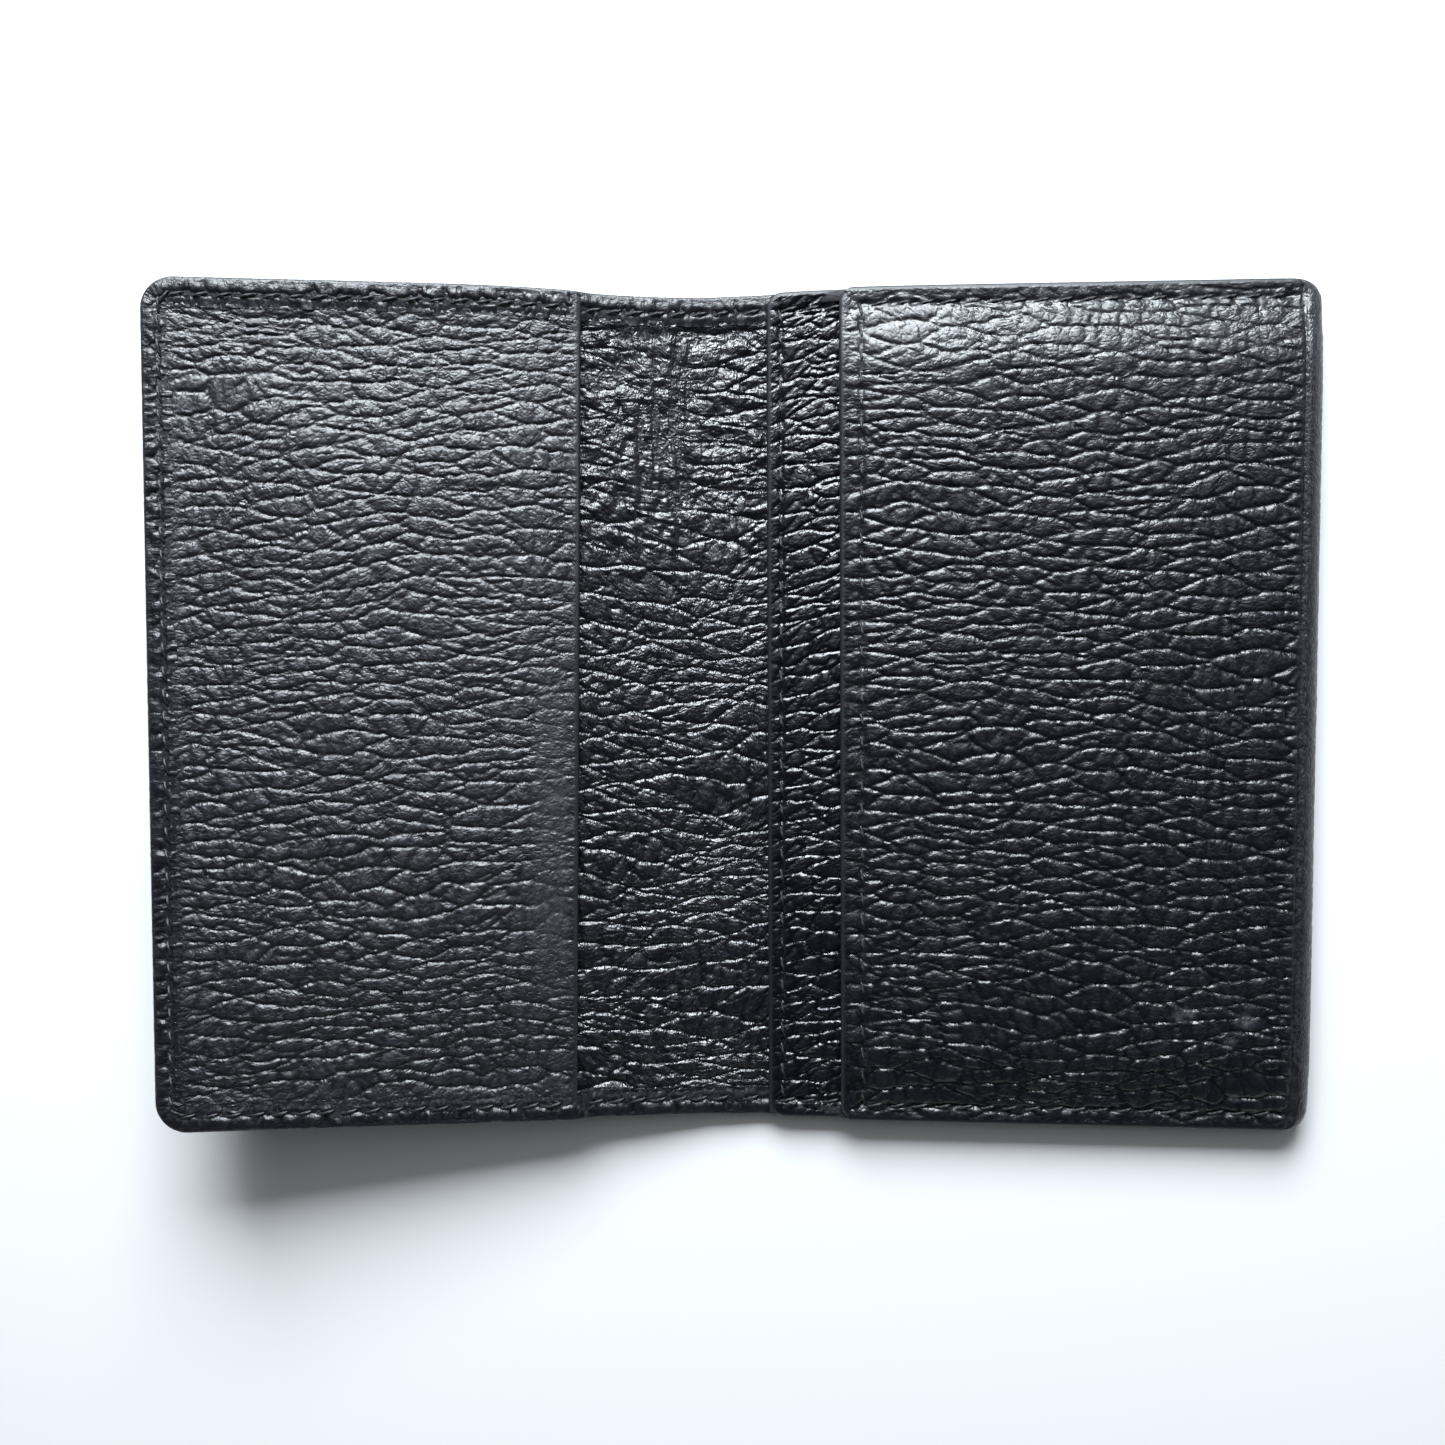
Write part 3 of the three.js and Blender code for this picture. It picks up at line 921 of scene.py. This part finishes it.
def cover_sheet():
    """The covers' outer leather, in two pieces that meet at the middle of the spine. The
    grain is on the outer face, which is z = 0."""
    radius = front_top(np.array([WIDTH]), np.array([0.0]))[0] / 2
    turned_from = SLOT_MOUTH + 3  # right of here the top and bottom edges are cut, not turned
    for side, low, high, also in (
        ("left", -WIDTH + WRAP_START, 0.0, []),
        ("right", 0.0, WIDTH - radius, ["outer_cover_spine"]),
    ):
        xs = spread(low, high, COVER_X)
        ys = spread(-1, 1, COVER_Y / TOP, [line / TOP for line in RIM_LINES])
        x, y = np.meshgrid(xs, ys, indexing="ij")
        cut = ramp(x - turned_from, -1, 2)
        inset = WRAP_START * (1 - cut)
        y = y * (TOP - inset)
        end = TOP - inset - np.abs(y)
        if side == "left":
            x, y = rounded_corners(x, y, left_corners(WRAP_START))
        height, crease, place = pebbles(x, y, 500)
        seam = from_end(y) - SEAM_INSET
        edge = np.where(cut > 0.5, end, 9.0)
        depth = 0.85 * GRAIN * ramp(end + 4 * (1 - cut), 0.3, 1.3)
        rise = depth * (1 - height) + rim_drop(edge, RIM) * cut + groove(seam, x, BACK_GROOVE)
        if side == "left":
            rise = rise + groove(x + WIDTH - SEAM_INSET, y, BACK_GROOVE) * ramp(seam, -0.5, 0.5)
        over_spine = bend_share(x, FOLD) * (1 - bend_share(x, -FOLD))
        rise = rise + 0.05 * over_spine * ridges(x, y, (0.8, 9.0), 541)
        paint = mouth_paint(edge) * cut
        shape = Shape()
        shape.sheet(
            xyz(x, y, rise),
            xyz(x, y, OUTER + 0 * x),
            flip=True,
            step=BENDING,
            crease=crease * (1 - paint),
            paint=paint,
            wear=0.3 * over_spine,
            pattern=place,
        )
        name, node = f"outer_leather_{side}", f"outer_cover_{side}"
        shape.make(name, COVER, "outer_leather", f"{side} bend", [node] + also)


def hem_section(top):
    """The turned edge's section for a hem whose top is at that height: how far in from the
    edge, how high, and which way is out, from the bottom rim over to the hem's end."""
    low_r, end_r = WRAP_START, 0.1
    rim_in, rim_down = 1.6, 0.85
    arc = []
    for angle in np.radians(np.linspace(-90, 0, 7)):  # bottom rim
        arc.append((low_r * (1 - math.cos(angle)), low_r * (1 + math.sin(angle))))
    for angle in np.radians(np.linspace(0, 90, 10)):  # top rim
        arc.append((rim_in * (1 - math.cos(angle)), top - rim_down * (1 - math.sin(angle))))
    for inset in np.linspace(rim_in, HEM_WIDTH - end_r, 18)[1:]:
        arc.append((inset, top - SKIVED * ramp(inset, 2.4, 1.5)))
    for angle in np.radians(np.linspace(90, 0, 4))[1:]:
        reach = end_r * math.cos(angle)
        low = top - SKIVED - end_r * (1 - math.sin(angle))
        arc.append((HEM_WIDTH - end_r + reach, low))
    return np.array(arc)


def hem_surface(along, inset, height, top, seed):
    """How far the hem's leather stands out from its section: it is gathered into wrinkles
    across the edge, and pulled down by its stitches."""
    on_top = ramp(height - top, -0.9, 0.6)
    gather = ridges(along + 0.3 * noise(along, inset, (2.0, 2.0), seed), inset, (1.0, 4.0), seed)
    lump = fractal(along, inset, (1.5, 1.3), seed + 5, 2)
    spread_in = ramp(inset, 0.15, 0.6) * on_top
    beside = 0.45 + 0.55 * hump(inset - SEAM_INSET, 1.0)
    out = -(0.85 * (1 - gather) * beside + 0.1 + 0.14 * lump) * spread_in
    out = out - 0.05 * ridges(along, height, (0.7, 2.0), seed + 9) * (1 - on_top)
    out = out - groove(inset - SEAM_INSET, along, 0.4, 0.36) * on_top
    # painted shade in the troughs of the gathered wrinkles
    crease = np.clip(2.0 * (1 - gather) - 0.3, 0, 1) * spread_in
    return np.minimum(out, 0.0), crease


HEM_SEED = 600  # the pattern along a hem starts at its seed too


def along_path(path):
    """How far along a path each of its points is."""
    step = np.hypot(*np.diff(path[:, :2], axis=0).T)
    return np.concatenate([[0], np.cumsum(step)])


def swept_hem(path, seed):
    """A turned edge along a path, which holds x, y and the inward normal for each step."""
    tops = hem_top(path[:, 0])
    sections = np.array([hem_section(top) for top in tops])  # step, point, (inset, height)
    inset, height = sections[..., 0], sections[..., 1]
    along = along_path(path)[:, None] + 0 * inset
    out, crease = hem_surface(along + seed, inset, height, tops[:, None], seed)
    before = np.roll(sections, 1, axis=1)
    after = np.roll(sections, -1, axis=1)
    before[:, 0], after[:, -1] = sections[:, 0], sections[:, -1]
    tangent = after - before
    tangent = tangent / (np.linalg.norm(tangent, axis=-1, keepdims=True) + 1e-9)
    inset_out, height_out = inset - tangent[..., 1] * out, height + tangent[..., 0] * out
    outer = path_points(path, inset_out, np.maximum(height_out, 0.0))
    on_side = np.clip(inset + 0.35, OUTER * 0.7, HEM_WIDTH)
    on_top = np.minimum(inset + 0.4, HEM_WIDTH)
    under = np.clip(height - 0.38, 0.45, None)
    inner = path_points(path, np.where(height > 1.0, on_top, on_side), under)
    pattern = xyz(along, inset + height, 0 * inset)
    rim = hump(inset, 0.5)
    shape = Shape()
    shape.sheet(outer, inner, step=BENDING, crease=crease, wear=0.1 * rim, pattern=pattern)
    return shape


def path_points(path, inset, height):
    x = path[:, 0:1] + path[:, 2:3] * inset
    y = path[:, 1:2] + path[:, 3:4] * inset
    return xyz(x, y, height)


PATH_STEP = 0.26


def left_outline():
    """The left cover's edge from the top mouth, round both corners, to the bottom mouth."""
    straight_x = np.arange(LEFT_MOUTH, -WIDTH + CORNER_LEFT, -PATH_STEP)
    path = [(x, TOP, 0.0, -1.0) for x in straight_x]
    corner_x = -WIDTH + CORNER_LEFT
    turn_steps = int(CORNER_LEFT * math.pi / 2 / (PATH_STEP * 1.2))
    for k in range(turn_steps + 1):
        angle = math.pi / 2 * (1 + k / turn_steps)
        c, s = math.cos(angle), math.sin(angle)
        path.append((corner_x + CORNER_LEFT * c, TOP - CORNER_LEFT + CORNER_LEFT * s, -c, -s))
    side_y = np.arange(TOP - CORNER_LEFT - PATH_STEP, 0, -PATH_STEP)
    path += [(-WIDTH, y, 1.0, 0.0) for y in side_y]
    path = np.array(path)
    mirrored = path[::-1] * np.array([1, -1, 1, -1])
    return np.concatenate([path, mirrored])


def hems():
    """The turned edge: round the left cover, then along the lining to under the strip."""
    path = left_outline()
    shape = swept_hem(path, HEM_SEED)
    shape.make(
        "turned_edge_leather", HEM_LOOK, "outer_leather", "left_cover", ["turned_edge_left"]
    )
    for word, side in SIDES:
        for half, start, stop, node in (
            ("left", LEFT_MOUTH, 0.0, "hem_bridge"),
            ("right", 0.0, SLOT_MOUTH + 2.4, "hem_spine"),
        ):
            xs = spread(start, stop, PATH_STEP)
            xs = xs[::-1] if side > 0 else xs
            path = np.array([(x, side * TOP, 0.0, -side) for x in xs])
            shape = swept_hem(path, HEM_SEED + 20 + (side > 0))
            name = f"hem_leather_{half}_{word}"
            shape.make(name, HEM_LOOK, "outer_leather", f"{half} bend", [f"{node}_{word}"])


# ---- pocket linings and edges


TEXTILE_STEP = 1.2
TEXTILE_INSET = 1.4  # from the cut edges


def textile_pockets():
    """Woven linings, one behind each pocket panel."""
    slot_high = flat_box("slot_backing")[1][0]
    front_high = flat_box("front_pocket_lining")[1][0]
    left_low = flat_box("left_pocket_lining")[0][0] + 1
    front_thick = FRONT - FRONT_LOW + GLUE
    for name, glued_to, low, high, top_of, thick, body, replaced in (
        ("slot_textile", "card_slot_leather", SLOT_MOUTH + 0.6, slot_high, strip_top,
         STRIP - TEXTILE, "right_cover", ["slot_backing", "rear_pocket_seam"]),
        ("front_textile", "front_pocket_leather", FRONT_MOUTH + 0.7, front_high, front_top,
         front_thick, "right_cover", ["front_pocket_lining", "front_slot_seam"]),
        ("left_textile", "left_pocket_leather", left_low, LEFT_MOUTH - 0.8, panel_top,
         PANEL - TEXTILE, "left_cover", ["left_pocket_lining", "left_pocket_seam"]),
    ):
        xs = spread(low, high, TEXTILE_STEP)
        ys = spread(-TOP + TEXTILE_INSET, TOP - TEXTILE_INSET, TEXTILE_STEP)
        x, y = np.meshgrid(xs, ys, indexing="ij")
        top = top_of(x, y) - thick
        keep = (np.arange(len(xs)), np.arange(len(ys)))
        shape = Shape()
        upper = shape.add(xyz(x, y, top))
        lower = shape.add(xyz(x, y, top - CLOTH))
        shape.quads(upper)
        shape.quads(lower, True)
        shape.walls(upper, lower, *keep)
        piece = shape.make(name, LINEN, "pocket_textile", body, replaced)


PAINT_LOW = 0.25
LAYER = 0.75  # the stacked layers show through the paint


def painted_edges():
    """Edge paint over the stacked, cut layers along the right cover's top and bottom."""
    start, stop = SLOT_MOUTH + 0.4, WIDTH - 3.2
    for word, side in SIDES:
        xs = spread(start, stop, 0.5)
        share = np.linspace(0, 1, 15)
        x, t = np.meshgrid(xs, share, indexing="ij")
        ends = np.full_like(x, side * TOP)
        over = ramp(x, FRONT_MOUTH, 0.5)
        top = (1 - over) * strip_top(x, ends) + over * front_top(x, ends) - 0.28
        z = PAINT_LOW + (top - PAINT_LOW) * t
        layers = 0.05 * np.abs(np.sin(z * math.pi / LAYER))
        bulge = 0.22 * (1 - (2 * t - 1) ** 4)
        y = side * (TOP - 0.3 + bulge - layers + 0.03 * noise(x, z, (2.5, 1.0), 701))
        inner_y = side * (TOP - 1.6) + 0 * y
        shape = Shape()
        shape.sheet(
            xyz(x, y, z),
            xyz(x, inner_y, z),
            flip=side > 0,
            paint=1.0,
            pattern=xyz(x, z, y),
        )
        shape.make(f"edge_paint_{word}", GLOSSY, "outer_leather", "right_cover")


# ---- stitches

THREAD_WIDE, THREAD_HIGH = 0.38, 0.32
STITCH_LONG = 2.35
STITCH_SLANT = math.radians(14)
ROUND, LONG = 8, 12


def stitches(shape, xs, ys, headings, height_of, up=1.0, sink=0.42, seed=7):
    """Adds a row of single stitches, each a short thread that dives at both its ends."""
    random = np.random.default_rng(seed)
    around = np.linspace(0, 2 * np.pi, ROUND, endpoint=False)
    t = np.linspace(-1, 1, LONG)
    for x, y, heading in np.broadcast(xs, ys, headings):
        heading = heading + STITCH_SLANT + 0.07 * (random.random() - 0.5)
        size = 1 + 0.12 * (random.random() - 0.5)
        c, s = math.cos(heading), math.sin(heading)
        arch = 0.5 * (1 + np.cos(np.pi * t))
        taper = np.sqrt(np.clip(1 - np.abs(t) ** 6, 0.03, 1))
        wide = THREAD_WIDE / 2 * taper[:, None] * np.cos(around)[None, :] * size
        high = THREAD_HIGH / 2 * taper[:, None] * np.sin(around)[None, :] * size
        run = (t * STITCH_LONG / 2 * size)[:, None] + 0 * wide
        px = x + run * c - wide * s
        py = y + run * s + wide * c
        base = height_of(x, y)
        centre = base + up * (-sink + (sink - 0.12) * arch[:, None])
        pz = centre + high
        pattern = xyz(run, around * 0.25 + 0 * run, 0 * run)
        index = shape.add(xyz(px, py, pz), pattern=pattern)
        closed = np.concatenate([index, index[:, :1]], axis=1)
        shape.quads(closed)
        shape.faces.append(index[0].tolist())
        shape.faces.append(index[-1][::-1].tolist())


def row(start, stop):
    """Stitch middles from start to stop, evenly spaced at about the pitch."""
    count = max(int(round((stop - start) / STITCH_PITCH)), 1)
    return start + (np.arange(count) + 0.5) * (stop - start) / count


def matching(start, stop):
    """Stitch middles between start and stop that fall between the grooves' stitch holes."""
    first = math.ceil(start / STITCH_PITCH - 0.5)
    last = math.floor(stop / STITCH_PITCH - 0.5)
    return (np.arange(first, last + 1) + 0.5) * STITCH_PITCH


SEAM_Y = TOP - SEAM_INSET
ROW_END = WIDTH - 4.5  # the right cover's seams stop short of its folded edge
HEM_SINK = 0.46
BACK_FACE = 0.16  # the back's stitches lie this deep


def hem_at(x, y):
    return hem_top(x)


def thread_rows():
    for word, side in SIDES:
        shape = Shape()
        for start, stop, top_of in (
            (SLOT_MOUTH + 2.6, FRONT_MOUTH - 0.5, strip_top),
            (FRONT_MOUTH + FRONT_ROW, ROW_END, front_top),
        ):
            stitches(shape, matching(start, stop), side * SEAM_Y, 0, top_of)
        name = f"seam_stitches_right_{word}"
        shape.make(name, THREAD, "thread", "right_cover", [f"seam_thread_right_{word}"])

    for pocket, offset, top_of in (
        ("slot", SLOT_ROW, strip_top),
        ("front", FRONT_ROW, front_top),
    ):
        shape = Shape()
        ys = matching(-SEAM_Y + 0.4, SEAM_Y - 0.4)
        stitches(shape, mouth_at(pocket, ys) + offset, ys, math.pi / 2, top_of, seed=17)
        name, node = f"{pocket}_mouth_stitches", f"{pocket}_mouth_thread"
        shape.make(name, THREAD, "thread", "right_cover", [node])

    # the turned edge's own row, round the left cover
    path = left_outline()
    along = along_path(path)

    def seam_at(places):
        return [np.interp(places, along, path[:, k] + path[:, k + 2] * SEAM_INSET) for k in (0, 1)]

    middles = matching(HEM_SEED + 1.0, HEM_SEED + along[-1] - 1.0) - HEM_SEED
    x, y = seam_at(middles)
    ahead_x, ahead_y = seam_at(middles + 0.5)
    headings = np.arctan2(ahead_y - y, ahead_x - x)
    shape = Shape()
    stitches(shape, x, y, headings, hem_at, sink=HEM_SINK, seed=27)
    shape.make("seam_stitches_left", THREAD, "thread", "left_cover", ["seam_thread_left"])

    for word, side in SIDES:
        for part, start, stop, rides in (
            ("bridge", LEFT_MOUTH + 0.6, -0.3, "left bend"),
            ("spine", 0.3, SLOT_MOUTH - 0.2, "right bend"),
        ):
            shape = Shape()
            stitches(shape, row(start, stop), side * SEAM_Y, 0, hem_at, sink=HEM_SINK)
            name, node = f"seam_stitches_{part}_{word}", f"seam_thread_{part}_{word}"
            shape.make(name, THREAD, "thread", rides, [node])

    back_rows()


def back_rows():
    """The same seams seen on the covers' outer faces, sunk into the leather."""

    def outer_face(x, y):
        return BACK_FACE

    rows_end = SEAM_Y - 1.2
    for name, start, stop, rides in (
        ("back_stitches_left", -WIDTH + CORNER_LEFT, -FOLD - REACH, "left_cover"),
        ("back_stitches_right", FOLD + REACH, ROW_END, "right_cover"),
    ):
        shape = Shape()
        for side in (1, -1):
            stitches(
                shape, matching(start, stop), side * SEAM_Y, 0, outer_face, up=-1.0, seed=37
            )
        if rides == "left_cover":
            ys = matching(-rows_end, rows_end)
            stitches(
                shape, -WIDTH + SEAM_INSET, ys, math.pi / 2, outer_face, up=-1.0, seed=47
            )
        shape.make(name, THREAD, "thread", rides)


# ---- the hidden CAD pieces


def dress_hidden_nodes():
    for node, material in (
        ("cover_board_left", BOARD),
        ("cover_board_right", BOARD),
        ("spine_tape", LINEN),
    ):
        piece = frame["nodes"][node]
        if not piece.material_slots:
            piece.data.materials.append(material)
        for slot in piece.material_slots:
            slot.material = material


# ---- floor and lights


FLOOR_REACH = 3.0
FLOOR_Z = -0.00002  # a little below the holder, so that no faces coincide
WORLD_STRENGTH = 0.04


def floor():
    mesh = bpy.data.meshes.new("floor")
    corners = [(x * FLOOR_REACH, y * FLOOR_REACH, 0) for x, y in ((-1, -1), (1, -1), (1, 1), (-1, 1))]
    mesh.from_pydata(corners, [], [(0, 1, 2, 3)])
    m = Nodes("floor")
    mesh.materials.append(m.finish(Base_Color=(0.6, 0.6, 0.602, 1), Roughness=0.9))
    piece = bpy.data.objects.new("floor", mesh)
    bpy.context.scene.collection.objects.link(piece)
    piece.location.z = FLOOR_Z


def area_light(name, place, size, power, colour):
    data = bpy.data.lights.new(name, "AREA")
    data.shape = "RECTANGLE"
    data.size, data.size_y = size
    data.energy = power
    data.color = colour
    light = bpy.data.objects.new(name, data)
    bpy.context.scene.collection.objects.link(light)
    light.location = place
    light.rotation_euler = (-Vector(place)).to_track_quat("-Z", "Y").to_euler()
    return light


def lights():
    area_light("key", (-0.03, 0.42, 0.29), (0.38, 0.28), 11.0, (0.87, 0.935, 1.0))
    area_light("fill", (0.0, 0.5, 0.95), (1.3, 0.6), 2.6, (0.95, 0.97, 1.0))
    # low and weak, for the upright edges: the leather's faces hardly reflect these upwards
    for x, y in ((0.0, -0.7), (0.7, -0.1), (-0.7, -0.1)):
        low = area_light("low", (x, y, 0.12), (1.2, 0.2), 0.8, (0.95, 0.97, 1.0))
        low.visible_camera = False
    world = bpy.data.worlds.new("world")
    world.use_nodes = True
    background = world.node_tree.nodes["Background"]
    background.inputs["Color"].default_value = (0.8, 0.88, 1.0, 1)
    background.inputs["Strength"].default_value = WORLD_STRENGTH
    bpy.context.scene.world = world
    bpy.context.scene.view_settings.view_transform = "Standard"


left_pocket()
card_strip()
front_pocket()
lining()
cover_sheet()
hems()
textile_pockets()
painted_edges()
thread_rows()
dress_hidden_nodes()
floor()
lights()
